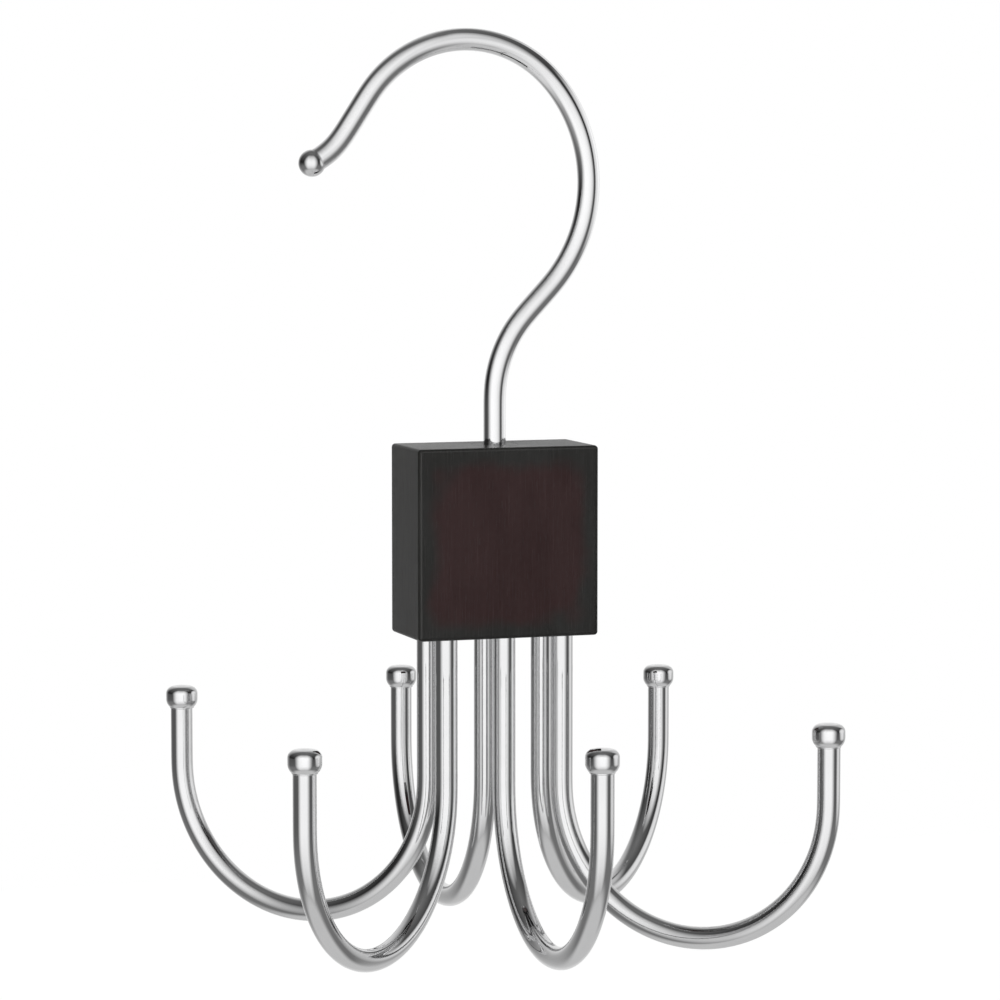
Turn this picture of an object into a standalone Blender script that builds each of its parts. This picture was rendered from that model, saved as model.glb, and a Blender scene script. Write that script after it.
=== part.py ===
"""Rotating belt hanger: a chrome top hook that turns in a dark wooden block with six belt hooks.

Metres, +Z up. The origin lies on the swivel axis, on the underside of the top hook's crown, where
the wardrobe rail carries the hanger. The top hook is bent in the XZ plane, and -Y is the front.
"""

import bpy
import bmesh
from math import atan2, cos, pi, radians, sin, sqrt
from mathutils import Vector

# Clearances
SEAT_GAP = 0.0003
BLIND_END_GAP = 0.0005

# Rod stock that every hook is bent from
ROD_DIAMETER = 0.0048
SPIGOT_STEP = 0.0009
SPIGOT_LENGTH = 0.0024
END_CHAMFER = 0.0004

# Belt hooks: two rows of three legs, each hook turned to its own heading
COLUMN_PITCH = 0.0129
ROW_PITCH = 0.0129
LEG_IN_BLOCK = 0.0160
LEG_LENGTH = 0.0321
HOOK_RADIUS = 0.03065
TIP_LENGTH = 0.0117
FAN_ANGLE = radians(45)

# End caps, as overhangs past the rod and heights stacked from the foot up
CAP_OVERHANG = 0.00107
CAP_FOOT_OVERHANG = 0.00025
CAP_FOOT_HEIGHT = 0.0002
CAP_FLANK_HEIGHT = 0.0018
CAP_BELT_HEIGHT = 0.00125
CAP_SHOULDER_HEIGHT = 0.0016
CAP_SHOULDER_WIDTH = 0.0018
CAP_DOME_HEIGHT = 0.00015

# Top hook, from the block up to the tip
STEM_LENGTH = 0.0099
SWAN_RADIUS = 0.0259
SWAN_TURN = radians(43.3)
SWAN_STRAIGHT = 0.0077
BACK_RADIUS = 0.0323
BACK_TURN = radians(85.5)
CROWN_RADIUS = 0.0256
CROWN_TURN = radians(104.7)
TIP_STRAIGHT = 0.0100
FLICK_RADIUS = 0.0158
FLICK_TURN = radians(28.3)
BALL_OVERHANG = 0.00045
BALL_FOOT_OVERHANG = 0.0001

# Swivel
BUSH_WALL = 0.0023
BUSH_LENGTH = 0.0100
WASHER_RIM = 0.0017
SLIP_WASHER_THICKNESS = 0.0008
STEEL_WASHER_THICKNESS = 0.0008
CLIP_RIM = 0.0017
CLIP_THICKNESS = 0.0010
CLIP_MOUTH_ANGLE = radians(70)
GROOVE_DEPTH = 0.0008
STEM_END_LENGTH = 0.0018

# Block, as the wood left around and between its bores
END_WALL = 0.0047
FACE_WALL = 0.00115
BORE_WEB = 0.0079
BLOCK_FILLET = 0.0008

# Facets
ROD_SIDES = 12
TURNED_SIDES = 24
CAP_SIDES = 16
BEND_STEP = radians(9)

COLUMNS = {"left": -1, "middle": 0, "right": 1}
ROWS = {"front": -1, "back": 1}

ROD_RADIUS = ROD_DIAMETER / 2
ROD_HOLE_RADIUS = ROD_RADIUS + SEAT_GAP
SPIGOT_RADIUS = ROD_RADIUS - SPIGOT_STEP
SPIGOT_HOLE_RADIUS = SPIGOT_RADIUS + SEAT_GAP
SPIGOT_HOLE_DEPTH = SPIGOT_LENGTH - SEAT_GAP + BLIND_END_GAP
BUSH_RADIUS = ROD_HOLE_RADIUS + BUSH_WALL

# Swivel stack, as depths below the block's top
SLIP_WASHER_TOP = BUSH_LENGTH + SEAT_GAP
STEEL_WASHER_TOP = SLIP_WASHER_TOP + SLIP_WASHER_THICKNESS + SEAT_GAP
GROOVE_TOP = STEEL_WASHER_TOP + STEEL_WASHER_THICKNESS
CLIP_TOP = GROOVE_TOP + SEAT_GAP
GROOVE_BOTTOM = CLIP_TOP + CLIP_THICKNESS + SEAT_GAP
STEM_END = GROOVE_BOTTOM + STEM_END_LENGTH
SWIVEL_BORE_DEPTH = STEM_END + BLIND_END_GAP
GROOVE_RADIUS = ROD_RADIUS - GROOVE_DEPTH

LEG_BORE_DEPTH = LEG_IN_BLOCK + BLIND_END_GAP
BLOCK_WIDTH = 2 * COLUMN_PITCH + ROD_DIAMETER + 2 * END_WALL
BLOCK_DEPTH = ROW_PITCH + ROD_DIAMETER + 2 * FACE_WALL
BLOCK_HEIGHT = SWIVEL_BORE_DEPTH + BORE_WEB + LEG_BORE_DEPTH


def clear_scene():
    for obj in list(bpy.data.objects):
        bpy.data.objects.remove(obj, do_unlink=True)


def make_material(name, color, roughness, metallic):
    material = bpy.data.materials.new(name)
    material.use_nodes = True
    shader = material.node_tree.nodes["Principled BSDF"]
    shader.inputs["Base Color"].default_value = (*color, 1.0)
    shader.inputs["Roughness"].default_value = roughness
    shader.inputs["Metallic"].default_value = metallic
    return material


def add_frame(name, location):
    """An empty that carries the pieces of one moving body."""
    frame = bpy.data.objects.new(name, None)
    frame.location = location
    bpy.context.collection.objects.link(frame)
    return frame


def finish_mesh(name, bm):
    bmesh.ops.recalc_face_normals(bm, faces=bm.faces)
    mesh = bpy.data.meshes.new(name)
    bm.to_mesh(mesh)
    bm.free()
    mesh.shade_smooth()
    mesh.set_sharp_from_angle(angle=radians(35))
    return mesh


def add_piece(name, mesh, material, parent, location=(0, 0, 0), heading=0.0):
    piece = bpy.data.objects.new(name, mesh)
    piece.location = location
    piece.rotation_euler = (0, 0, heading)
    piece.parent = parent
    bpy.context.collection.objects.link(piece)
    if not mesh.materials:
        mesh.materials.append(material)
    return piece


def join_loops(bm, first, second):
    """Quads between two rings of vertices, or a fan where one of them is a single point."""
    sides = max(len(first), len(second))
    for i in range(sides):
        j = (i + 1) % sides
        corners = [first[i % len(first)], first[j % len(first)]]
        corners += [second[j % len(second)], second[i % len(second)]]
        bm.faces.new(list(dict.fromkeys(corners)))


def turned_mesh(name, profile, sides, bored):
    """Turn (radius, height) points about Z; a bored profile closes on itself."""
    bm = bmesh.new()
    loops = []
    for radius, height in profile:
        count = sides if radius > 0 else 1
        turns = [2 * pi * i / count for i in range(count)]
        loops.append([bm.verts.new((radius * cos(t), radius * sin(t), height)) for t in turns])
    following = loops[1:] + loops[:1] if bored else loops[1:]
    for first, second in zip(loops, following):
        join_loops(bm, first, second)
    return finish_mesh(name, bm)


def rod_mesh(name, stations):
    """Sweep a round section through (point, heading, radius) stations in the XZ plane."""
    bm = bmesh.new()
    across = Vector((0, 1, 0))
    loops = []
    for point, heading, radius in stations:
        outward = Vector((cos(heading), 0, -sin(heading)))
        ring = []
        for i in range(ROD_SIDES):
            turn = 2 * pi * i / ROD_SIDES
            ring.append(bm.verts.new(point + radius * (cos(turn) * outward + sin(turn) * across)))
        loops.append(ring)
    for first, second in zip(loops, loops[1:]):
        join_loops(bm, first, second)
    bm.faces.new(loops[0])
    bm.faces.new(loops[-1])
    return finish_mesh(name, bm)


def heading_vector(heading):
    """Unit vector in the XZ plane; heading is measured from +Z towards +X."""
    return Vector((sin(heading), 0, cos(heading)))


def bend_centre(point, heading, radius, turn):
    side = 1 if turn > 0 else -1
    return point + side * radius * heading_vector(heading + pi / 2)


def bend(point, heading, radius, turn):
    """Points and headings along an arc, without its first point."""
    centre = bend_centre(point, heading, radius, turn)
    side = 1 if turn > 0 else -1
    steps = max(2, round(abs(turn) / BEND_STEP))
    track = []
    for i in range(1, steps + 1):
        new_heading = heading + turn * i / steps
        track.append((centre - side * radius * heading_vector(new_heading + pi / 2), new_heading))
    return track


def stepped_stations(point, heading, steps):
    """Stations of a straight turned length; steps are (distance, radius) from the point."""
    return [(point + distance * heading_vector(heading), heading, radius) for distance, radius in steps]


def spigot_steps():
    """The turned-down end that a cap or ball is pressed on, from the rod's shoulder outwards."""
    return [
        (0, SPIGOT_RADIUS),
        (SPIGOT_LENGTH - END_CHAMFER, SPIGOT_RADIUS),
        (SPIGOT_LENGTH, SPIGOT_RADIUS - END_CHAMFER),
    ]


def belt_hook_mesh():
    """A J hook in the local XZ plane; its leg is on Z and enters the block at the origin."""
    down = pi
    leg_steps = [
        (-LEG_IN_BLOCK, ROD_RADIUS - END_CHAMFER),
        (END_CHAMFER - LEG_IN_BLOCK, ROD_RADIUS),
        (LEG_LENGTH, ROD_RADIUS),
    ]
    stations = stepped_stations(Vector(), down, leg_steps)
    track = bend(stations[-1][0], down, HOOK_RADIUS, -pi)
    stations += [(point, heading, ROD_RADIUS) for point, heading in track]
    end, heading = track[-1]
    shoulder = end + TIP_LENGTH * heading_vector(heading)
    stations.append((shoulder, heading, ROD_RADIUS))
    stations += stepped_stations(shoulder, heading, spigot_steps())
    return rod_mesh("belt_hook", stations)


def top_hook_bends():
    """Start point, start heading, radius and turn of each bend, from the stem to the tip."""
    point = Vector((0, 0, STEM_LENGTH))
    heading = 0.0
    bends = []
    for lead, radius, turn in [
        (0, SWAN_RADIUS, SWAN_TURN),
        (SWAN_STRAIGHT, BACK_RADIUS, -BACK_TURN),
        (0, CROWN_RADIUS, -CROWN_TURN),
        (TIP_STRAIGHT, FLICK_RADIUS, FLICK_TURN),
    ]:
        start = point + lead * heading_vector(heading)
        bends.append((start, heading, radius, turn))
        point, heading = bend(start, heading, radius, turn)[-1]
    return bends


def rail_seat_height():
    """Height above the block's top of the crown's underside, on the swivel axis."""
    centre = bend_centre(*top_hook_bends()[2])
    inner_radius = CROWN_RADIUS - ROD_RADIUS
    return centre.z + sqrt(inner_radius ** 2 - centre.x ** 2)


def top_hook_stations():
    """The whole top hook, from the stem's lower end to the spigot under the ball."""
    stem_steps = [
        (-STEM_END, ROD_RADIUS - END_CHAMFER),
        (END_CHAMFER - STEM_END, ROD_RADIUS),
        (-GROOVE_BOTTOM, ROD_RADIUS),
        (-GROOVE_BOTTOM, GROOVE_RADIUS),
        (-GROOVE_TOP, GROOVE_RADIUS),
        (-GROOVE_TOP, ROD_RADIUS),
    ]
    stations = stepped_stations(Vector(), 0.0, stem_steps)
    for start, heading, radius, turn in top_hook_bends():
        if (start - stations[-1][0]).length > SEAT_GAP:
            stations.append((start, heading, ROD_RADIUS))
        stations += [(point, new, ROD_RADIUS) for point, new in bend(start, heading, radius, turn)]
    tip, heading, _ = stations[-1]
    return stations + stepped_stations(tip, heading, spigot_steps())


def spigot_bore():
    """Profile of the blind bore that a cap or ball has for the spigot, down to its foot."""
    return [(0, SPIGOT_HOLE_DEPTH), (SPIGOT_HOLE_RADIUS, SPIGOT_HOLE_DEPTH), (SPIGOT_HOLE_RADIUS, 0)]


def ball_profile():
    """A ball cut flat where it meets the rod; the flat foot is at height 0."""
    radius = ROD_RADIUS + BALL_OVERHANG
    foot_radius = ROD_RADIUS + BALL_FOOT_OVERHANG
    centre = sqrt(radius ** 2 - foot_radius ** 2)
    foot_latitude = -atan2(centre, foot_radius)
    rings = 9
    profile = spigot_bore()
    for i in range(rings):
        latitude = foot_latitude + (pi / 2 - foot_latitude) * i / rings
        profile.append((radius * cos(latitude), centre + radius * sin(latitude)))
    profile.append((0, centre + radius))
    return profile


def cap_profile():
    """A barrel with a narrow foot, an upright waist, a round shoulder and a shallow dome."""
    widest = ROD_RADIUS + CAP_OVERHANG
    foot = ROD_RADIUS + CAP_FOOT_OVERHANG
    waist = CAP_FOOT_HEIGHT + CAP_FLANK_HEIGHT
    flank_turn = 2 * atan2(widest - foot, CAP_FLANK_HEIGHT)
    flank_radius = CAP_FLANK_HEIGHT / sin(flank_turn)
    profile = spigot_bore()
    profile.append((ROD_RADIUS, 0))
    flank_steps = 4
    for i in range(flank_steps + 1):
        turn = flank_turn * (flank_steps - i) / flank_steps
        profile.append((widest - flank_radius * (1 - cos(turn)), waist - flank_radius * sin(turn)))
    belt_top = waist + CAP_BELT_HEIGHT
    shoulder_steps = 5
    for i in range(shoulder_steps + 1):
        turn = (pi / 2) * i / shoulder_steps
        radius = widest - CAP_SHOULDER_WIDTH * (1 - cos(turn))
        profile.append((radius, belt_top + CAP_SHOULDER_HEIGHT * sin(turn)))
    profile.append((0, belt_top + CAP_SHOULDER_HEIGHT + CAP_DOME_HEIGHT))
    return profile


def ring_mesh(name, outer_radius, height):
    """A bush or washer around the rod that hangs down from its own origin."""
    hole = ROD_HOLE_RADIUS
    profile = [(hole, -height), (outer_radius, -height), (outer_radius, 0), (hole, 0)]
    return turned_mesh(name, profile, TURNED_SIDES, bored=True)


def clip_mesh():
    """An open spring ring that hangs down from its own origin, with its mouth towards +X."""
    bm = bmesh.new()
    inner_radius = GROOVE_RADIUS + SEAT_GAP
    outer_radius = ROD_RADIUS + CLIP_RIM
    steps = TURNED_SIDES
    turns = [
        CLIP_MOUTH_ANGLE / 2 + (2 * pi - CLIP_MOUTH_ANGLE) * i / steps
        for i in range(steps + 1)
    ]
    corners = [(inner_radius, 0), (outer_radius, 0), (outer_radius, -CLIP_THICKNESS)]
    corners.append((inner_radius, -CLIP_THICKNESS))
    sections = []
    for turn in turns:
        sections.append([bm.verts.new((r * cos(turn), r * sin(turn), z)) for r, z in corners])
    for first, second in zip(sections, sections[1:]):
        join_loops(bm, first, second)
    bm.faces.new(sections[0])
    bm.faces.new(sections[-1])
    return finish_mesh("retaining_clip", bm)


def box_mesh(name, width, depth, height):
    """A box that hangs down from the centre of its top face."""
    bm = bmesh.new()
    bmesh.ops.create_cube(bm, size=1)
    bmesh.ops.scale(bm, vec=(width, depth, height), verts=bm.verts)
    bmesh.ops.translate(bm, vec=(0, 0, -height / 2), verts=bm.verts)
    return finish_mesh(name, bm)


def add_cylinder(bm, x, y, bottom, top, radius):
    made = bmesh.ops.create_cone(
        bm, cap_ends=True, segments=TURNED_SIDES,
        radius1=radius, radius2=radius, depth=top - bottom)
    bmesh.ops.translate(bm, vec=(x, y, (top + bottom) / 2), verts=made["verts"])


def leg_places():
    """Place of each leg in the block and the direction its hook points, counted from +X."""
    places = {}
    for row, row_side in ROWS.items():
        for column, column_side in COLUMNS.items():
            heading = row_side * (pi / 2 - column_side * FAN_ANGLE)
            places[f"{row}_{column}"] = (
                column_side * COLUMN_PITCH, row_side * ROW_PITCH / 2, heading)
    return places


def add_block(material, frame):
    """The block, with a blind bore for the swivel above and one for each leg below."""
    mesh = box_mesh("block", BLOCK_WIDTH, BLOCK_DEPTH, BLOCK_HEIGHT)
    block = add_piece("block", mesh, material, frame)

    bm = bmesh.new()
    overrun = BLOCK_FILLET
    add_cylinder(bm, 0, 0, -SWIVEL_BORE_DEPTH, overrun, BUSH_RADIUS + SEAT_GAP)
    for x, y, _ in leg_places().values():
        bottom = -BLOCK_HEIGHT - overrun
        add_cylinder(bm, x, y, bottom, LEG_BORE_DEPTH - BLOCK_HEIGHT, ROD_HOLE_RADIUS)
    cutter = add_piece("block_bores", finish_mesh("block_bores", bm), material, frame)
    cutter.hide_render = True
    cutter.display_type = "WIRE"

    fillet = block.modifiers.new("edge_fillet", "BEVEL")
    fillet.width = BLOCK_FILLET
    fillet.segments = 3
    bores = block.modifiers.new("bores", "BOOLEAN")
    bores.operation = "DIFFERENCE"
    bores.object = cutter


def add_swivel(materials, hook_frame, block_frame):
    """The bush and slip washer stay in the block; the steel washer and clip turn with the rod."""
    bush = ring_mesh("swivel_bush", BUSH_RADIUS, BUSH_LENGTH)
    add_piece("swivel_bush", bush, materials["acetal"], block_frame)

    washer_radius = ROD_HOLE_RADIUS + WASHER_RIM
    slip = ring_mesh("slip_washer", washer_radius, SLIP_WASHER_THICKNESS)
    add_piece("slip_washer", slip, materials["nylon"], block_frame, (0, 0, -SLIP_WASHER_TOP))

    steel = ring_mesh("steel_washer", washer_radius, STEEL_WASHER_THICKNESS)
    add_piece("steel_washer", steel, materials["steel"], hook_frame, (0, 0, -STEEL_WASHER_TOP))

    add_piece("retaining_clip", clip_mesh(), materials["steel"], hook_frame, (0, 0, -CLIP_TOP))


def add_top_hook(material, frame):
    stations = top_hook_stations()
    add_piece("top_hook_rod", rod_mesh("top_hook_rod", stations), material, frame)

    # The ball's foot keeps its gap to the rod's shoulder, which the spigot starts from.
    shoulder, heading, _ = stations[-len(spigot_steps())]
    foot = shoulder + SEAT_GAP * heading_vector(heading)
    mesh = turned_mesh("top_hook_ball", ball_profile(), CAP_SIDES, bored=False)
    ball = add_piece("top_hook_ball", mesh, material, frame, foot)
    ball.rotation_euler = (0, heading, 0)


def add_belt_hooks(material, frame):
    """Six hooks from one mesh and six caps from another, each turned about its own leg."""
    hook = belt_hook_mesh()
    cap = turned_mesh("end_cap", cap_profile(), CAP_SIDES, bored=False)
    reach = 2 * HOOK_RADIUS
    cap_foot = TIP_LENGTH - LEG_LENGTH - BLOCK_HEIGHT + SEAT_GAP
    for name, (x, y, heading) in leg_places().items():
        add_piece(f"belt_hook_{name}", hook, material, frame, (x, y, -BLOCK_HEIGHT), heading)
        place = (x + reach * cos(heading), y + reach * sin(heading), cap_foot)
        add_piece(f"end_cap_{name}", cap, material, frame, place, heading)


def main():
    clear_scene()
    chrome = make_material("chrome", (0.80, 0.80, 0.81), 0.06, 1.0)
    espresso = make_material("espresso_lacquer", (0.030, 0.025, 0.023), 0.30, 0.0)
    inner = {
        "acetal": make_material("acetal", (0.020, 0.020, 0.020), 0.45, 0.0),
        "nylon": make_material("nylon", (0.78, 0.76, 0.70), 0.50, 0.0),
        "steel": make_material("spring_steel", (0.45, 0.45, 0.46), 0.35, 1.0),
    }
    block_top = (0, 0, -rail_seat_height())
    hook_frame = add_frame("top_hook_frame", block_top)
    block_frame = add_frame("swivel_axis", block_top)
    add_top_hook(chrome, hook_frame)
    add_block(espresso, block_frame)
    add_swivel(inner, hook_frame, block_frame)
    add_belt_hooks(chrome, block_frame)


main()
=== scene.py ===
"""Rotating belt hanger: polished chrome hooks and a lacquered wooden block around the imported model.

Metres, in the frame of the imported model: the origin lies on the swivel axis at the rail seat, +Z is up
and -Y is the front.
"""

from math import atan2, ceil, cos, pi, radians, sin, sqrt

import bmesh
import bpy
from mathutils import Matrix, Vector


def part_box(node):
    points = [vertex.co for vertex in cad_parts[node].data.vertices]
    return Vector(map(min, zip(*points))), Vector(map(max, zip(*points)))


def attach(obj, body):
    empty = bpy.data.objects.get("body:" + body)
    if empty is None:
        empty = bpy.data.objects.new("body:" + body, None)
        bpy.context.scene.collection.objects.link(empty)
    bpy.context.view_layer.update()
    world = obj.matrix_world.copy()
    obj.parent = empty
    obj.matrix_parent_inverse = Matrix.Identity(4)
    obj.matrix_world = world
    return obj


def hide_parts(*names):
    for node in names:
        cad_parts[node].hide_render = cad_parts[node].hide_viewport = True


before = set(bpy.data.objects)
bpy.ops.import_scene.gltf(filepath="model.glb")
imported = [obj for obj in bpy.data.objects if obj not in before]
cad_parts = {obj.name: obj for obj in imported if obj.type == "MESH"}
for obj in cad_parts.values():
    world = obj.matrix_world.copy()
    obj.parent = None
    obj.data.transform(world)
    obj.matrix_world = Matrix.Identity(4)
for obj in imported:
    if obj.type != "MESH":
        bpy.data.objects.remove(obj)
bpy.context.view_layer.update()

# Block, as packed
BLOCK_LOW, BLOCK_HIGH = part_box("block")
BLOCK_CENTRE = (BLOCK_LOW + BLOCK_HIGH) / 2
BLOCK_SIZE = BLOCK_HIGH - BLOCK_LOW
BLOCK_FILLET = 0.0008

# Belt hooks, from the front middle one, whose bend lies in the YZ plane
HOOK_LOW, HOOK_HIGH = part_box("belt_hook_front_middle")
ROD_RADIUS = (HOOK_HIGH.x - HOOK_LOW.x) / 2
HOOK_RADIUS = (HOOK_HIGH.y - HOOK_LOW.y) / 2 - ROD_RADIUS
ARC_LEVEL = HOOK_LOW.z + ROD_RADIUS + HOOK_RADIUS
LEG_TOP = HOOK_HIGH.z
LEG_CHAMFER = 0.0004
HOOK_TIP_CHAMFER = 0.0001
FAN_ANGLE = radians(45)
COLUMNS = {"left": -1, "middle": 0, "right": 1}
ROWS = {"front": -1, "back": 1}

# End caps
CAP_LOW, CAP_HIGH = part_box("end_cap_front_middle")
CAP_RADIUS = (CAP_HIGH.x - CAP_LOW.x) / 2
CAP_HEIGHT = CAP_HIGH.z - CAP_LOW.z
CAP_FOOT_OVERHANG = 0.00025
CAP_LIP = 0.0002
CAP_FLANK = 0.0018
CAP_BELT = 0.00125
CAP_DOME = 0.00015
CAP_SHOULDER_WIDTH = 0.0018

# Top hook, from the block up to the tip, as straight lengths and bends
STEM_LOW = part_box("top_hook_rod")[0].z
STEM_CHAMFER = 0.0004
STEM_LENGTH = 0.0099
SWAN_RADIUS, SWAN_TURN = 0.0259, radians(43.3)
SWAN_STRAIGHT = 0.0077
BACK_RADIUS, BACK_TURN = 0.0323, radians(-85.5)
CROWN_RADIUS, CROWN_TURN = 0.0256, radians(-104.7)
TIP_STRAIGHT = 0.0100
FLICK_RADIUS, FLICK_TURN = 0.0158, radians(28.3)
TIP_CHAMFER = 0.0003
BALL_RADIUS = ROD_RADIUS + 0.00045
BALL_FOOT_RADIUS = ROD_RADIUS + 0.0001

# Swivel bush
BUSH_LOW, BUSH_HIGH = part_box("swivel_bush")
BUSH_RADIUS = (BUSH_HIGH.x - BUSH_LOW.x) / 2
BUSH_CHAMFER = 0.00008

# Bores in the block and the bush
LEG_GAP = 0.0003
BUSH_GAP = 0.00004
BORE_END_GAP = 0.0005
MOUTH_CHAMFER = 0.00025

# Mesh fineness
ROD_SIDES = 40
ROD_STEP = 0.0010
BEND_EASE = 0.0050
EASE_SAMPLES = 9
TURNED_SIDES = 64
CAP_CURVE_STEPS = 12
BALL_RINGS = 28
FILLET_SEGMENTS = 6
SHARP_ANGLE = radians(35)

# Grain of the materials: cells of noise in a metre along each axis
DRAWN_LINES = (9000, 9000, 60)
RING_WARP = (60, 60, 14)
WOOD_FIBRES = (2600, 2600, 70)
WOOD_PATCHES = (150, 150, 50)
WOOD_PORES = (5200, 5200, 260)
FIELD_RAGS = (120, 120, 90)
STEEL_BRUSHING = (200, 9000, 9000)

# Growth rings around a pith that lies outside the block
PITH = Vector((-0.115, -0.045, 0))
RING_SPACING = 0.00175
RING_WAVER = 0.0035

# Middle field of the large faces, where the lacquer lies thin, by distance from the face's edge
FIELD_START, FIELD_FULL = 0.0016, 0.0058
FIELD_RAGGEDNESS = 0.008
FIELD_ROUNDING = 0.009

# Depths below a face of the block: where that face's own finish starts, and where it is full
FACE_SKIN = 0.0006
END_SKIN = 0.0004
SKIN_FULL = 0.0001

# Rings that the tool left on the bush
TOOL_MARK_PITCH = 0.00012

# Linear colours, each as a dark and a light tone
CHROME_TONES = (0.79, 0.79, 0.795), (0.81, 0.81, 0.815)
THICK_LACQUER_TONES = (0.0178, 0.0175, 0.0163), (0.0243, 0.0240, 0.0228)
THIN_LACQUER_TONES = (0.0278, 0.0123, 0.0123), (0.0368, 0.0183, 0.0183)
ACETAL_TONES = (0.012, 0.012, 0.012), (0.022, 0.022, 0.022)
NYLON_TONES = (0.74, 0.72, 0.66), (0.81, 0.79, 0.74)
STEEL_TONES = (0.36, 0.35, 0.34), (0.48, 0.48, 0.49)
PORE_COLOR = (0.008, 0.007, 0.007)
FLOOR_COLOR = (0.82, 0.82, 0.82, 1)
WHITE = (1, 1, 1, 1)

# Camera, at the photograph's viewing angle
CAMERA_AZIMUTH = radians(-18.511)
CAMERA_ELEVATION = radians(5.084)
CAMERA_DISTANCE = 0.8773
CAMERA_LEVEL = BLOCK_HIGH.z - 0.01191
CAMERA_SHIFT_RIGHT = 0.00117
CLIP_START = 0.01
SENSOR_WIDTH = 36.0
LENS = 148.32

# Light and floor
AMBIENT_LEVEL = 0.60
KEY_POWER = 9.0
KEY_SIZE = 0.9
KEY_PLACE = (-0.75, -1.0, 0.75)
FLOOR_LEVEL = -1.3
FLOOR_HALF_WIDTH = 6.0
FLOOR_LIFT = 0.52

# Studio that the chrome mirrors: spans of height or side in degrees, and the levels at their ends
WALL_SPAN, WALL_LEVELS = (7, 90), (0.017, 0.176)
GROUND_SPAN, GROUND_LEVELS = (-36, -60), (0.19, 0.61)
HORIZON_SPAN = (-26, 10)
COVE_SPAN, COVE_LEVELS = (32, 66), (0.60, 0.15)
COVE_LEFT_SPAN = (-109, -168)
COVE_RIGHT_SPAN = (115, 139)
WINDOW_LEVEL = 1.12
WINDOW_HEIGHT, WINDOW_REACH = 2, 74
WINDOW_LEFT_SPAN = (-76, -28)
WINDOW_RIGHT_SPAN = (18, 66)

# Lamps in the studio: side, height, reach to the side and reach up, all in degrees
SIDE_LAMP = (103, 6, 34, 30)
SIDE_LAMP_LEVEL = 0.89
BACK_LAMP = (180, -5, 34, 46)
BACK_LAMP_LEVEL = 0.20

# Squared share of its reach within which the side lamp is fully bright
SIDE_LAMP_CORE = 0.1

# Soft lamps that some pieces alone mirror: side, height, reach to the side, reach up (degrees) and level
HOOK_LAMPS = [
    (-32, -7, 55, 70, 0.12),
    (-59, 26, 27, 40, 0.25),
    (46, -19, 20, 45, 0.28),
    (48, 42, 20, 35, 0.31),
    (135, 3, 29, 50, 0.51),
    (-154, 20, 52, 84, 0.23),
    (-42, -50, 94, 39, 0.19),
]
BLOCK_LAMPS = [
    (3, -5, 30, 20, 2.4),
    (42, 32, 24, 22, 2.2),
]
CAP_LAMPS = [
    (180, 4, 50, 16, 0.08),
    (0, 4, 34, 34, 0.10),
]

# Radii of the domes that carry the soft lamps, all different because domes that coincide hide each other
HOOK_DOME_RADIUS = 2.5
BLOCK_DOME_RADIUS = 2.8
CAP_DOME_RADIUS = 3.1


def finish_mesh(name, bm):
    """Turn a bmesh into a mesh with smooth curves and sharp edges."""
    bmesh.ops.recalc_face_normals(bm, faces=bm.faces)
    mesh = bpy.data.meshes.new(name)
    bm.to_mesh(mesh)
    bm.free()
    mesh.shade_smooth()
    mesh.set_sharp_from_angle(angle=SHARP_ANGLE)
    return mesh


def add_piece(name, mesh, material, body, node):
    """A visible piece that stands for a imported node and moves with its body."""
    piece = bpy.data.objects.new(name, mesh)
    bpy.context.scene.collection.objects.link(piece)
    mesh.materials.append(material)
    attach(piece, body)
    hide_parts(node)
    return piece


def join_loops(bm, first, second):
    """Quads between two rings of vertices, or a fan where one of them is a single point."""
    sides = max(len(first), len(second))
    for i in range(sides):
        j = (i + 1) % sides
        corners = [first[i % len(first)], first[j % len(first)]]
        corners += [second[j % len(second)], second[i % len(second)]]
        bm.faces.new(list(dict.fromkeys(corners)))


def ring_angles(sides):
    return [2 * pi * i / sides for i in range(sides)]


def turned_mesh(name, profile, bored=False):
    """Turn (radius, height) points about Z; a bored profile closes on itself."""
    bm = bmesh.new()
    loops = []
    for radius, height in profile:
        angles = ring_angles(TURNED_SIDES if radius > 0 else 1)
        loops.append([bm.verts.new((radius * cos(t), radius * sin(t), height)) for t in angles])
    following = loops[1:] + loops[:1] if bored else loops[1:]
    for first, second in zip(loops, following):
        join_loops(bm, first, second)
    return finish_mesh(name, bm)


def heading_vector(heading):
    """Unit vector in the XZ plane; heading is measured from +Z towards +X."""
    return Vector((sin(heading), 0, cos(heading)))


def raw_heading(distance, heading, runs):
    """Heading at a distance along runs of (length, turn), where each bend has one curvature."""
    for length, turn in runs:
        share = min(max(distance / length, 0.0), 1.0)
        heading += turn * share
        distance -= length
    return heading


def eased_route(start, heading, runs):
    """Points, headings and distances along the rod, with every bend eased in and out."""
    total = sum(length for length, _ in runs)
    steps = ceil(total / ROD_STEP)
    step = total / steps
    offsets = [BEND_EASE * (i / (EASE_SAMPLES - 1) - 0.5) for i in range(EASE_SAMPLES)]

    def eased(distance):
        return sum(raw_heading(distance + t, heading, runs) for t in offsets) / EASE_SAMPLES

    point = start
    route = [(point, eased(0.0), 0.0)]
    for i in range(steps):
        point = point + step * heading_vector(eased((i + 0.5) * step))
        route.append((point, eased((i + 1) * step), (i + 1) * step))
    return route


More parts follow.
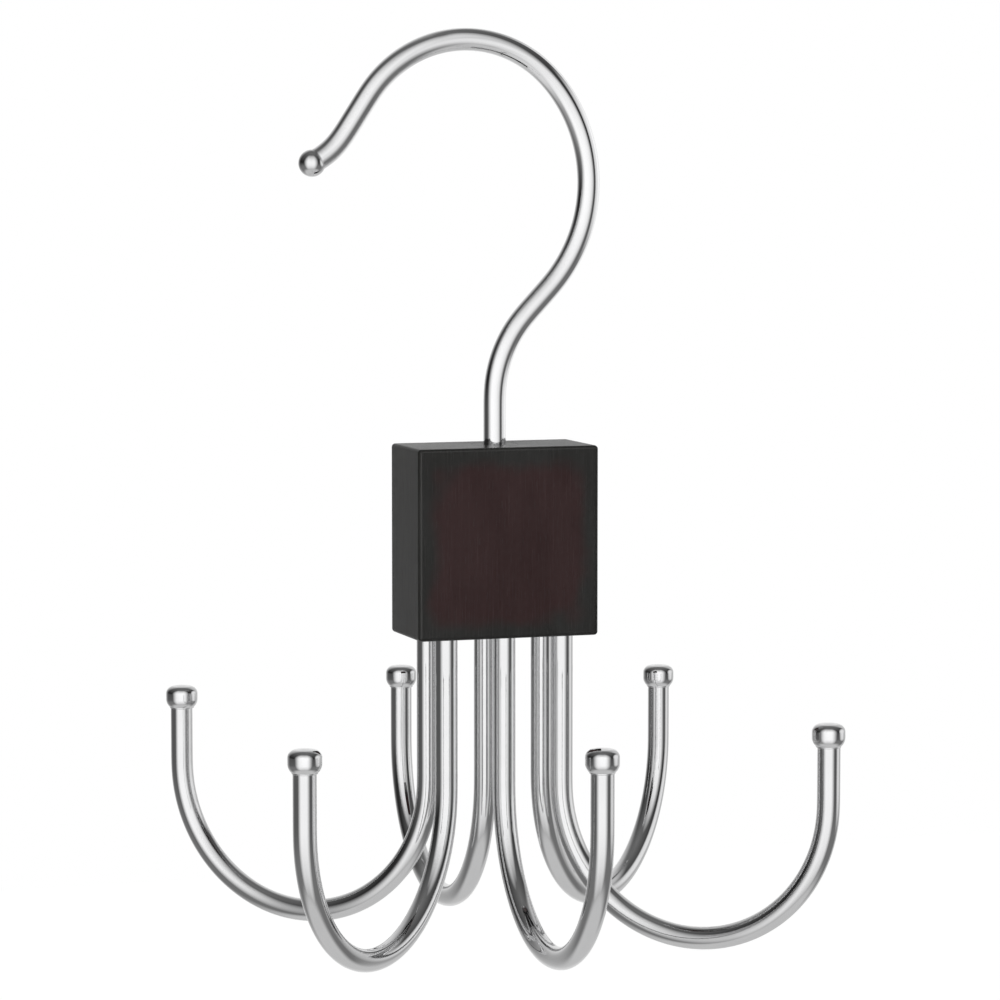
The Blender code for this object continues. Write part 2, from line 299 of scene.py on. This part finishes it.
def rod_mesh(name, route, start_chamfer, end_chamfer):
    """Sweep the rod's round section along a route, with a small chamfer on both ends.

    The attribute rod_place keeps each point's place on the rod before it was bent.
    """
    start, start_heading, _ = route[0]
    end, end_heading, length = route[-1]
    inner_start = start + start_chamfer * heading_vector(start_heading)
    inner_end = end - end_chamfer * heading_vector(end_heading)
    stations = [
        (start, start_heading, 0.0, ROD_RADIUS - start_chamfer),
        (inner_start, start_heading, start_chamfer, ROD_RADIUS),
    ]
    stations += [(*station, ROD_RADIUS) for station in route[1:-1]]
    stations += [
        (inner_end, end_heading, length - end_chamfer, ROD_RADIUS),
        (end, end_heading, length, ROD_RADIUS - end_chamfer),
    ]

    bm = bmesh.new()
    place = bm.verts.layers.float_vector.new("rod_place")
    across = Vector((0, 1, 0))
    loops = []
    for point, heading, distance, radius in stations:
        outward = Vector((cos(heading), 0, -sin(heading)))
        ring = []
        for turn in ring_angles(ROD_SIDES):
            vert = bm.verts.new(point + radius * (cos(turn) * outward + sin(turn) * across))
            vert[place] = (radius * cos(turn), radius * sin(turn), distance)
            ring.append(vert)
        loops.append(ring)
    for one, two in zip(loops, loops[1:]):
        join_loops(bm, one, two)
    bm.faces.new(loops[0])
    bm.faces.new(loops[-1])
    return finish_mesh(name, bm)


def hook_names():
    """Each belt hook's name and the direction that it points in, counted from +X."""
    names = {}
    for row, row_side in ROWS.items():
        for column, column_side in COLUMNS.items():
            names[f"{row}_{column}"] = row_side * (pi / 2 - column_side * FAN_ANGLE)
    return names


def cap_place(name):
    """Centre of a cap's foot."""
    low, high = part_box(f"end_cap_{name}")
    return Vector(((low.x + high.x) / 2, (low.y + high.y) / 2, low.z))


def leg_place(name, heading):
    """Where a hook's leg stands, which is one hook's width back from its cap."""
    foot = cap_place(name)
    reach = 2 * HOOK_RADIUS
    return Vector((foot.x - reach * cos(heading), foot.y - reach * sin(heading), 0))


def hook_route():
    """The J of every belt hook: down from its leg's upper end, round, and up to its cap."""
    runs = [
        (LEG_TOP - ARC_LEVEL, 0.0),
        (pi * HOOK_RADIUS, -pi),
        (CAP_LOW.z - ARC_LEVEL, 0.0),
    ]
    return eased_route(Vector((0, 0, LEG_TOP)), pi, runs)


def add_belt_hooks(chrome):
    """The six belt hooks, each with its cap; returns the caps."""
    route = hook_route()
    caps = []
    for name, heading in hook_names().items():
        mesh = rod_mesh(f"hook_{name}", route, LEG_CHAMFER, HOOK_TIP_CHAMFER)
        place = Matrix.Translation(leg_place(name, heading)) @ Matrix.Rotation(heading, 4, "Z")
        mesh.transform(place)
        add_piece(f"chrome_hook_{name}", mesh, chrome, "block", f"belt_hook_{name}")
        caps.append(add_cap(name, chrome))
    return caps


def add_cap(name, chrome):
    """The cap on the end of one belt hook."""
    mesh = turned_mesh(f"cap_{name}", cap_profile())
    mesh.transform(Matrix.Translation(cap_place(name)))
    return add_piece(f"chrome_cap_{name}", mesh, chrome, "block", f"end_cap_{name}")


def cap_profile():
    """A barrel with a narrow foot, an upright waist, a round shoulder and a shallow dome."""
    foot = ROD_RADIUS + CAP_FOOT_OVERHANG
    waist = CAP_LIP + CAP_FLANK
    flank_turn = 2 * atan2(CAP_RADIUS - foot, CAP_FLANK)
    flank_radius = CAP_FLANK / sin(flank_turn)
    lip_round = CAP_LIP / 4
    profile = [(0, 0), (foot - lip_round, 0), (foot, lip_round)]
    for i in range(CAP_CURVE_STEPS + 1):
        turn = flank_turn * (CAP_CURVE_STEPS - i) / CAP_CURVE_STEPS
        profile.append((CAP_RADIUS - flank_radius * (1 - cos(turn)), waist - flank_radius * sin(turn)))
    belt_top = waist + CAP_BELT
    shoulder_height = CAP_HEIGHT - belt_top - CAP_DOME
    for i in range(CAP_CURVE_STEPS + 1):
        turn = (pi / 2) * i / CAP_CURVE_STEPS
        radius = CAP_RADIUS - CAP_SHOULDER_WIDTH * (1 - cos(turn))
        profile.append((radius, belt_top + shoulder_height * sin(turn)))
    rim = CAP_RADIUS - CAP_SHOULDER_WIDTH
    for share in (0.75, 0.5, 0.25, 0.0):
        profile.append((rim * share, CAP_HEIGHT - CAP_DOME * share ** 2))
    return profile


def ball_profile():
    """A ball cut flat where it meets the rod; the flat foot is at height 0."""
    centre = sqrt(BALL_RADIUS ** 2 - BALL_FOOT_RADIUS ** 2)
    foot_latitude = -atan2(centre, BALL_FOOT_RADIUS)
    profile = [(0, 0)]
    for i in range(BALL_RINGS):
        latitude = foot_latitude + (pi / 2 - foot_latitude) * i / BALL_RINGS
        profile.append((BALL_RADIUS * cos(latitude), centre + BALL_RADIUS * sin(latitude)))
    profile.append((0, centre + BALL_RADIUS))
    return profile


def add_top_hook(chrome):
    """The question mark that turns in the block, with the ball on its tip; returns the rod."""
    runs = [
        (BLOCK_HIGH.z + STEM_LENGTH - STEM_LOW, 0.0),
        (SWAN_RADIUS * SWAN_TURN, SWAN_TURN),
        (SWAN_STRAIGHT, 0.0),
        (BACK_RADIUS * abs(BACK_TURN), BACK_TURN),
        (CROWN_RADIUS * abs(CROWN_TURN), CROWN_TURN),
        (TIP_STRAIGHT, 0.0),
        (FLICK_RADIUS * FLICK_TURN, FLICK_TURN),
    ]
    route = eased_route(Vector((0, 0, STEM_LOW)), 0.0, runs)
    mesh = rod_mesh("top_hook", route, STEM_CHAMFER, TIP_CHAMFER)
    rod = add_piece("chrome_top_hook", mesh, chrome, "top_hook", "top_hook_rod")

    tip, heading, _ = route[-1]
    ball = turned_mesh("top_hook_ball", ball_profile())
    ball.transform(Matrix.Translation(tip) @ Matrix.Rotation(heading, 4, "Y"))
    add_piece("chrome_tip_ball", ball, chrome, "top_hook", "top_hook_ball")
    return rod


def add_cone(bm, place, low, high, low_radius, high_radius):
    """A closed cone frustum between two levels, for cutting."""
    made = bmesh.ops.create_cone(
        bm, cap_ends=True, segments=TURNED_SIDES,
        radius1=low_radius, radius2=high_radius, depth=high - low)
    shift = Vector((place.x, place.y, (low + high) / 2))
    bmesh.ops.translate(bm, vec=shift, verts=made["verts"])


def cut(obj, bm):
    """Subtract a mesh from an object and keep the result as the object's own mesh."""
    cutter = bpy.data.objects.new("cutter", finish_mesh("cutter", bm))
    bpy.context.scene.collection.objects.link(cutter)
    modifier = obj.modifiers.new("cut", "BOOLEAN")
    modifier.operation = "DIFFERENCE"
    modifier.solver = "EXACT"
    modifier.object = cutter
    keep_modified_mesh(obj)
    bpy.data.objects.remove(cutter)


def keep_modified_mesh(obj):
    graph = bpy.context.evaluated_depsgraph_get()
    mesh = bpy.data.meshes.new_from_object(obj.evaluated_get(graph))
    obj.modifiers.clear()
    obj.data = mesh


def add_block(lacquer):
    """The block, with its fillets, its bores and a small chamfer at the mouth of each leg's bore."""
    bm = bmesh.new()
    bmesh.ops.create_cube(bm, size=1)
    bmesh.ops.scale(bm, vec=BLOCK_SIZE, verts=bm.verts)
    bmesh.ops.translate(bm, vec=BLOCK_CENTRE, verts=bm.verts)
    bmesh.ops.bevel(
        bm, geom=bm.edges, offset=BLOCK_FILLET, offset_type="OFFSET",
        segments=FILLET_SEGMENTS, profile=0.5, affect="EDGES")
    block = add_piece("wood_block", finish_mesh("wood_block", bm), lacquer, "block", "block")

    bottom, top = BLOCK_LOW.z, BLOCK_HIGH.z
    beyond = BLOCK_FILLET
    leg_bore = ROD_RADIUS + LEG_GAP
    mouth = leg_bore + MOUTH_CHAMFER + beyond
    legs = bmesh.new()
    mouths = bmesh.new()
    for name, heading in hook_names().items():
        place = leg_place(name, heading)
        add_cone(legs, place, bottom - beyond, LEG_TOP + BORE_END_GAP, leg_bore, leg_bore)
        add_cone(mouths, place, bottom - beyond, bottom + MOUTH_CHAMFER, mouth, leg_bore)
    cut(block, legs)
    cut(block, mouths)

    swivel = bmesh.new()
    swivel_bore = BUSH_RADIUS + BUSH_GAP
    add_cone(swivel, Vector(), STEM_LOW - BORE_END_GAP, top + beyond, swivel_bore, swivel_bore)
    cut(block, swivel)

    weighted = block.modifiers.new("flat_faces", "WEIGHTED_NORMAL")
    weighted.weight = 100
    weighted.keep_sharp = True
    return block


def add_bush(acetal):
    """The bush, flush in the block's top, with a small chamfer on both upper rims."""
    hole = ROD_RADIUS + BUSH_GAP
    low, high = BUSH_LOW.z, BUSH_HIGH.z
    profile = [
        (hole, low),
        (BUSH_RADIUS, low),
        (BUSH_RADIUS, high - BUSH_CHAMFER),
        (BUSH_RADIUS - BUSH_CHAMFER, high),
        (hole + BUSH_CHAMFER, high),
        (hole, high - BUSH_CHAMFER),
    ]
    mesh = turned_mesh("bush", profile, bored=True)
    add_piece("swivel_bush_ring", mesh, acetal, "block", "swivel_bush")


class Nodes:
    """Short ways to add shader nodes to one node tree; most values may be a number or a socket."""

    def __init__(self, tree):
        self.tree = tree

    def add(self, kind, **settings):
        node = self.tree.nodes.new(kind)
        for name, value in settings.items():
            setattr(node, name, value)
        return node

    def feed(self, socket, value):
        if isinstance(value, bpy.types.NodeSocket):
            self.tree.links.new(value, socket)
        else:
            socket.default_value = value

    def math(self, operation, first, second=0.0, third=0.0):
        node = self.add("ShaderNodeMath", operation=operation)
        for socket, value in zip(node.inputs, (first, second, third)):
            self.feed(socket, value)
        return node.outputs[0]

    def plus(self, value, share, amount):
        """A value, and a share of an amount added to it."""
        return self.math("ADD", value, self.math("MULTIPLY", share, amount))

    def hypotenuse(self, x, y):
        return self.math("SQRT", self.math("ADD", self.math("POWER", x, 2.0), self.math("POWER", y, 2.0)))

    def ramp(self, value, start, end, low=0.0, high=1.0, smooth=True):
        """Goes from low to high while value goes from start to end."""
        node = self.add("ShaderNodeMapRange", interpolation_type="SMOOTHSTEP" if smooth else "LINEAR")
        for socket, part in zip(node.inputs, (value, start, end, low, high)):
            self.feed(socket, part)
        return node.outputs[0]

    def sweep(self, angle, span, low=0.0, high=1.0, smooth=True):
        """A ramp over a span given in degrees, for an angle in radians."""
        start, end = span
        return self.ramp(angle, radians(start), radians(end), low, high, smooth)

    def mix(self, share, first, second):
        node = self.add("ShaderNodeMix", data_type="FLOAT")
        for socket, value in zip(node.inputs[:1] + node.inputs[2:4], (share, first, second)):
            self.feed(socket, value)
        return node.outputs[0]

    def mix_color(self, share, first, second):
        node = self.add("ShaderNodeMix", data_type="RGBA")
        for socket, value in zip(node.inputs[:1] + node.inputs[6:8], (share, first, second)):
            self.feed(socket, (*value, 1.0) if isinstance(value, tuple) else value)
        return node.outputs[2]

    def scaled(self, vector, scale):
        node = self.add("ShaderNodeVectorMath", operation="MULTIPLY")
        self.feed(node.inputs[0], vector)
        node.inputs[1].default_value = scale
        return node.outputs[0]

    def moved(self, vector, offset):
        node = self.add("ShaderNodeVectorMath", operation="ADD")
        self.feed(node.inputs[0], vector)
        node.inputs[1].default_value = offset
        return node.outputs[0]

    def object_place(self):
        return self.add("ShaderNodeTexCoord").outputs["Object"]

    def noise(self, vector, scale=1.0, detail=3.0, roughness=0.5):
        node = self.add("ShaderNodeTexNoise")
        self.feed(node.inputs["Vector"], vector)
        node.inputs["Scale"].default_value = scale
        node.inputs["Detail"].default_value = detail
        node.inputs["Roughness"].default_value = roughness
        return node.outputs["Fac"]

    def split(self, vector):
        node = self.add("ShaderNodeSeparateXYZ")
        self.feed(node.inputs[0], vector)
        return node.outputs

    def bump(self, height, strength, distance, normal=None):
        node = self.add("ShaderNodeBump")
        node.inputs["Strength"].default_value = strength
        node.inputs["Distance"].default_value = distance
        self.feed(node.inputs["Height"], height)
        if normal is not None:
            self.feed(node.inputs["Normal"], normal)
        return node.outputs[0]

    def dress(self, shader, color, roughness, normal):
        """Give a shader its colour, roughness and relief."""
        self.feed(shader.inputs["Base Color"], color)
        self.feed(shader.inputs["Roughness"], roughness)
        self.feed(shader.inputs["Normal"], normal)


def new_material(name, metallic=0.0, specular=0.5):
    """A material with its shader and a Nodes helper for its tree."""
    material = bpy.data.materials.new(name)
    material.use_nodes = True
    shader = material.node_tree.nodes["Principled BSDF"]
    shader.inputs["Metallic"].default_value = metallic
    shader.inputs["Specular IOR Level"].default_value = specular
    return material, shader, Nodes(material.node_tree)


def chrome_material():
    """Mirror chrome on drawn rod: faint lines along the rod, a soft waviness and a little haze."""
    material, shader, nodes = new_material("polished_chrome", metallic=1.0)
    rod_place = nodes.add("ShaderNodeAttribute", attribute_name="rod_place").outputs["Vector"]
    spot = nodes.object_place()
    lines = nodes.noise(nodes.scaled(rod_place, DRAWN_LINES), detail=2.0)
    haze = nodes.noise(spot, scale=170, detail=3.0)
    waves = nodes.noise(spot, scale=420, detail=1.0)

    color = nodes.mix_color(nodes.ramp(haze, 0.3, 0.7), *CHROME_TONES)
    roughness = nodes.ramp(lines, 0.35, 0.75, 0.045, 0.065)
    roughness = nodes.math("ADD", roughness, nodes.ramp(haze, 0.45, 0.75, 0.0, 0.015))
    wavy = nodes.bump(waves, 0.06, 0.00003)
    lined = nodes.bump(lines, 0.03, 0.000002, wavy)
    nodes.dress(shader, color, roughness, lined)
    return material


def late_wood(nodes, spot):
    """1 in the late wood at the outside of each growth ring, 0 in the early wood."""
    x, y, _ = nodes.split(nodes.moved(spot, tuple(-PITH)))
    warp = nodes.noise(nodes.scaled(spot, RING_WARP), detail=2.0)
    from_pith = nodes.plus(nodes.hypotenuse(x, y), warp, RING_WAVER)
    ring = nodes.math("FRACT", nodes.math("DIVIDE", from_pith, RING_SPACING))
    return nodes.ramp(ring, 0.45, 0.95)


def on_faces(nodes, offset, half_size, skin):
    """1 on the two opposite faces of the block that lie half its size away from its middle."""
    return nodes.ramp(nodes.math("ABSOLUTE", offset), half_size - skin, half_size - SKIN_FULL)


def thin_lacquer(nodes, spot, x, y, z):
    """1 in the ragged middle field of the two large faces, 0 elsewhere; x, y, z start at the middle."""
    ragged = nodes.noise(nodes.scaled(spot, FIELD_RAGS), detail=2.0)
    margin = nodes.math("MULTIPLY", nodes.math("SUBTRACT", ragged, 0.5), FIELD_RAGGEDNESS)
    to_side = nodes.math("SUBTRACT", BLOCK_SIZE.x / 2, nodes.math("ABSOLUTE", x))
    to_end = nodes.math("SUBTRACT", BLOCK_SIZE.z / 2, nodes.math("ABSOLUTE", z))
    to_edge = nodes.math("ADD", nodes.math("SMOOTH_MIN", to_side, to_end, FIELD_ROUNDING), margin)
    field = nodes.ramp(to_edge, FIELD_START, FIELD_FULL)
    return nodes.math("MULTIPLY", field, on_faces(nodes, y, BLOCK_SIZE.y / 2, FACE_SKIN))


def lacquer_material():
    """Espresso lacquer over close-grained wood with upright grain: growth rings, fibres and fine pores.

    The lacquer lies thinner in the middle of the two large faces, where the brown shows through, and it
    dries to a softer gloss on the two narrow sides and on the end grain of the top and underside.
    """
    material, shader, nodes = new_material("espresso_lacquer", specular=0.17)
    spot = nodes.object_place()
    x, y, z = nodes.split(nodes.moved(spot, tuple(-BLOCK_CENTRE)))
    fibres = nodes.noise(nodes.scaled(spot, WOOD_FIBRES), detail=3.0, roughness=0.6)
    patches = nodes.noise(nodes.scaled(spot, WOOD_PATCHES), detail=2.0)
    pores = nodes.ramp(nodes.noise(nodes.scaled(spot, WOOD_PORES), detail=0.0), 0.66, 0.74)
    thin = thin_lacquer(nodes, spot, x, y, z)

    grain = nodes.math("MULTIPLY", late_wood(nodes, spot), 0.25)
    grain = nodes.math("ADD", grain, nodes.ramp(fibres, 0.35, 0.70, 0.0, 0.24))
    grain = nodes.math("ADD", grain, nodes.ramp(patches, 0.38, 0.62, 0.0, 0.66))
    tones = zip(THICK_LACQUER_TONES, THIN_LACQUER_TONES)
    dark, light = [nodes.mix_color(thin, thick_tone, thin_tone) for thick_tone, thin_tone in tones]
    color = nodes.mix_color(grain, dark, light)
    color = nodes.mix_color(nodes.math("MULTIPLY", pores, 0.25), color, PORE_COLOR)

    roughness = nodes.ramp(fibres, 0.3, 0.7, 0.22, 0.28)
    roughness = nodes.plus(roughness, pores, 0.06)
    roughness = nodes.plus(roughness, on_faces(nodes, x, BLOCK_SIZE.x / 2, FACE_SKIN), 0.11)
    roughness = nodes.plus(roughness, on_faces(nodes, z, BLOCK_SIZE.z / 2, END_SKIN), 0.07)

    grainy = nodes.bump(nodes.math("SUBTRACT", fibres, pores), 0.05, 0.00002)
    orange_peel = nodes.bump(nodes.noise(spot, scale=900, detail=1.0), 0.04, 0.00003, grainy)
    nodes.dress(shader, color, roughness, orange_peel)
    return material


def acetal_material():
    """Turned black acetal, with fine rings from the tool."""
    material, shader, nodes = new_material("black_acetal", specular=0.20)
    spot = nodes.object_place()
    x, y, _ = nodes.split(spot)
    turns = nodes.math("MULTIPLY", nodes.hypotenuse(x, y), 2 * pi / TOOL_MARK_PITCH)
    tool_marks = nodes.bump(nodes.math("SINE", turns), 0.05, 0.000002)
    speckle = nodes.noise(spot, scale=3000)
    color = nodes.mix_color(speckle, *ACETAL_TONES)
    nodes.dress(shader, color, nodes.ramp(speckle, 0.3, 0.7, 0.29, 0.35), tool_marks)
    return material


def nylon_material():
    """Natural nylon: milky, slightly translucent, with a moulded grain."""
    material, shader, nodes = new_material("natural_nylon")
    shader.inputs["Subsurface Weight"].default_value = 0.3
    shader.inputs["Subsurface Scale"].default_value = 0.001
    spot = nodes.object_place()
    cloud = nodes.noise(spot, scale=700)
    color = nodes.mix_color(cloud, *NYLON_TONES)
    moulded = nodes.bump(nodes.noise(spot, scale=4000), 0.1, 0.00001)
    nodes.dress(shader, color, nodes.ramp(cloud, 0.3, 0.7, 0.42, 0.55), moulded)
    return material


def steel_material():
    """Plain oiled spring steel, brushed one way, with darker patches of oil."""
    material, shader, nodes = new_material("oiled_steel", metallic=1.0)
    spot = nodes.object_place()
    brushed = nodes.noise(nodes.scaled(spot, STEEL_BRUSHING), detail=2.0)
    color = nodes.mix_color(nodes.noise(spot, scale=500), *STEEL_TONES)
    roughness = nodes.ramp(brushed, 0.3, 0.7, 0.28, 0.42)
    nodes.dress(shader, color, roughness, nodes.bump(brushed, 0.1, 0.000008))
    return material


def refinish(node, material):
    """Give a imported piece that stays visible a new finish."""
    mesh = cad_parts[node].data
    mesh.materials.clear()
    mesh.materials.append(material)


def add_camera():
    azimuth, elevation = CAMERA_AZIMUTH, CAMERA_ELEVATION
    back = Vector((sin(azimuth) * cos(elevation), -cos(azimuth) * cos(elevation), sin(elevation)))
    right = Vector((cos(azimuth), sin(azimuth), 0))
    camera = bpy.data.objects.new("camera", bpy.data.cameras.new("camera"))
    camera.location = Vector((0, 0, CAMERA_LEVEL)) + back * CAMERA_DISTANCE + right * CAMERA_SHIFT_RIGHT
    camera.rotation_euler = (pi / 2 - elevation, 0, azimuth)
    camera.data.sensor_width = SENSOR_WIDTH
    camera.data.lens = LENS
    camera.data.clip_start = CLIP_START
    bpy.context.scene.collection.objects.link(camera)
    bpy.context.scene.camera = camera


def studio_angles(nodes, direction):
    """Angles of a direction in the studio, in radians: to the right of the camera's side, and up."""
    turned = nodes.add("ShaderNodeVectorRotate", rotation_type="Z_AXIS")
    nodes.feed(turned.inputs["Vector"], direction)
    turned.inputs["Angle"].default_value = -CAMERA_AZIMUTH
    x, y, z = nodes.split(turned.outputs[0])
    return nodes.math("ARCTAN2", x, nodes.math("MULTIPLY", y, -1.0)), nodes.math("ARCSINE", z)


def squared_share(nodes, offset, reach):
    """Square of an angle, in radians, as a share of a reach in degrees."""
    return nodes.math("POWER", nodes.math("DIVIDE", offset, radians(reach)), 2.0)


def spread(nodes, side, height, lamp_side, lamp_height, side_reach, height_reach):
    """Squared distance from a lamp's centre in units of its reach; the lamp's place is in degrees."""
    aside = nodes.math("WRAP", nodes.math("SUBTRACT", side, radians(lamp_side)), pi, -pi)
    above = nodes.math("SUBTRACT", height, radians(lamp_height))
    aside = squared_share(nodes, aside, side_reach)
    above = squared_share(nodes, above, height_reach)
    return nodes.math("ADD", aside, above)


def window_light(nodes, side, height):
    """A tall window of light around the camera, brightest at its middle height."""
    above = nodes.math("SUBTRACT", height, radians(WINDOW_HEIGHT))
    window = nodes.math("SUBTRACT", 1.0, squared_share(nodes, above, WINDOW_REACH))
    window = nodes.math("MULTIPLY", nodes.math("MAXIMUM", window, 0.0), WINDOW_LEVEL)
    window = nodes.math("MULTIPLY", window, nodes.sweep(side, WINDOW_LEFT_SPAN))
    return nodes.math("MULTIPLY", window, nodes.sweep(side, WINDOW_RIGHT_SPAN, 1.0, 0.0))


def studio_light(nodes, direction):
    """Brightness that the chrome sees in each direction: a white cove with one large window of light."""
    side, height = studio_angles(nodes, direction)
    walls = nodes.sweep(height, WALL_SPAN, *WALL_LEVELS, smooth=False)
    ground = nodes.sweep(height, GROUND_SPAN, *GROUND_LEVELS)
    light = nodes.mix(nodes.sweep(height, HORIZON_SPAN), ground, walls)

    cove = nodes.sweep(height, COVE_SPAN, *COVE_LEVELS)
    left_end = nodes.sweep(side, COVE_LEFT_SPAN)
    right_end = nodes.sweep(side, COVE_RIGHT_SPAN)
    light = nodes.mix(nodes.math("MAXIMUM", left_end, right_end), light, cove)

    lamp = nodes.ramp(spread(nodes, side, height, *SIDE_LAMP), SIDE_LAMP_CORE, 1.0, 1.0, 0.0)
    light = nodes.mix(lamp, light, SIDE_LAMP_LEVEL)
    behind = nodes.ramp(spread(nodes, side, height, *BACK_LAMP), 0.0, 1.0, BACK_LAMP_LEVEL, 0.0)
    light = nodes.math("ADD", light, behind)
    return nodes.math("MAXIMUM", light, window_light(nodes, side, height))


def add_world():
    """White for the camera, the studio for reflections, and one soft level for everything else."""
    world = bpy.data.worlds.new("studio")
    bpy.context.scene.world = world
    world.use_nodes = True
    tree = world.node_tree
    nodes = Nodes(tree)
    direction = nodes.add("ShaderNodeTexCoord").outputs["Generated"]
    path = nodes.add("ShaderNodeLightPath").outputs
    mirrored = nodes.math("MAXIMUM", path["Is Glossy Ray"], path["Is Transmission Ray"])
    strength = nodes.mix(mirrored, AMBIENT_LEVEL, studio_light(nodes, direction))
    strength = nodes.mix(path["Is Camera Ray"], strength, 1.0)
    background = tree.nodes["Background"]
    background.inputs["Color"].default_value = WHITE
    nodes.feed(background.inputs["Strength"], strength)


def soft_lamp_material(name, lamps):
    """Clear, with the glow of the lamps added."""
    material = bpy.data.materials.new(name)
    material.use_nodes = True
    material.cycles.emission_sampling = "NONE"
    tree = material.node_tree
    tree.nodes.clear()
    nodes = Nodes(tree)
    direction = nodes.add("ShaderNodeVectorMath", operation="NORMALIZE")
    nodes.feed(direction.inputs[0], nodes.object_place())
    side, height = studio_angles(nodes, direction.outputs[0])
    total = 0.0
    for *lamp, level in lamps:
        distance = spread(nodes, side, height, *lamp)
        total = nodes.math("ADD", total, nodes.ramp(distance, 0.0, 1.0, level, 0.0))
    glow = nodes.add("ShaderNodeEmission")
    nodes.feed(glow.inputs["Strength"], total)
    both = nodes.add("ShaderNodeAddShader")
    nodes.feed(both.inputs[0], glow.outputs[0])
    nodes.feed(both.inputs[1], nodes.add("ShaderNodeBsdfTransparent").outputs[0])
    nodes.feed(nodes.add("ShaderNodeOutputMaterial").inputs["Surface"], both.outputs[0])
    return material


def add_soft_lamps(name, lamps, radius, pieces):
    """A far dome of soft lamps that only some pieces mirror; it sheds no light on anything else."""
    bm = bmesh.new()
    bmesh.ops.create_icosphere(bm, subdivisions=3, radius=radius)
    mesh = finish_mesh(name, bm)
    mesh.materials.append(soft_lamp_material(name, lamps))
    dome = bpy.data.objects.new(name, mesh)
    dome.visible_camera = False
    dome.visible_diffuse = False
    dome.visible_shadow = False
    bpy.context.scene.collection.objects.link(dome)
    lit = bpy.data.collections.new(f"lit_by_{name}")
    for piece in pieces:
        lit.objects.link(piece)
    dome.light_linking.receiver_collection = lit


def add_key_light():
    """One large soft lamp at the front left; the chrome sees the studio's window in its place."""
    lamp = bpy.data.lights.new("key", "AREA")
    lamp.shape = "SQUARE"
    lamp.size = KEY_SIZE
    lamp.energy = KEY_POWER
    key = bpy.data.objects.new("key", lamp)
    key.location = KEY_PLACE
    target = Vector((0, 0, CAMERA_LEVEL))
    key.rotation_euler = (target - key.location).to_track_quat("-Z", "Y").to_euler()
    key.visible_glossy = False
    bpy.context.scene.collection.objects.link(key)


def floor_material():
    """Pale and dull, lifted to white for the camera."""
    material, shader, nodes = new_material("pale_floor", specular=0.0)
    shader.inputs["Base Color"].default_value = FLOOR_COLOR
    shader.inputs["Roughness"].default_value = 0.9
    shader.inputs["Emission Color"].default_value = WHITE
    seen = nodes.add("ShaderNodeLightPath").outputs["Is Camera Ray"]
    nodes.feed(shader.inputs["Emission Strength"], nodes.math("MULTIPLY", seen, FLOOR_LIFT))
    return material


def add_floor():
    """A pale floor well below the hanging part, white to the camera except in the part's shadow."""
    mesh = bpy.data.meshes.new("floor")
    half = FLOOR_HALF_WIDTH
    corners = [(-half, -half, 0), (half, -half, 0), (half, half, 0), (-half, half, 0)]
    mesh.from_pydata(corners, [], [(0, 1, 2, 3)])
    mesh.materials.append(floor_material())
    floor = bpy.data.objects.new("floor", mesh)
    floor.location.z = FLOOR_LEVEL
    floor.visible_glossy = False
    bpy.context.scene.collection.objects.link(floor)


chrome = chrome_material()
caps = add_belt_hooks(chrome)
hook = add_top_hook(chrome)
block = add_block(lacquer_material())
add_bush(acetal_material())
steel = steel_material()
refinish("steel_washer", steel)
refinish("retaining_clip", steel)
refinish("slip_washer", nylon_material())
add_camera()
add_world()
add_soft_lamps("hook_lamps", HOOK_LAMPS, HOOK_DOME_RADIUS, [hook])
add_soft_lamps("block_lamps", BLOCK_LAMPS, BLOCK_DOME_RADIUS, [block])
add_soft_lamps("cap_lamps", CAP_LAMPS, CAP_DOME_RADIUS, caps)
add_key_light()
add_floor()
bpy.context.scene.view_settings.view_transform = "Standard"
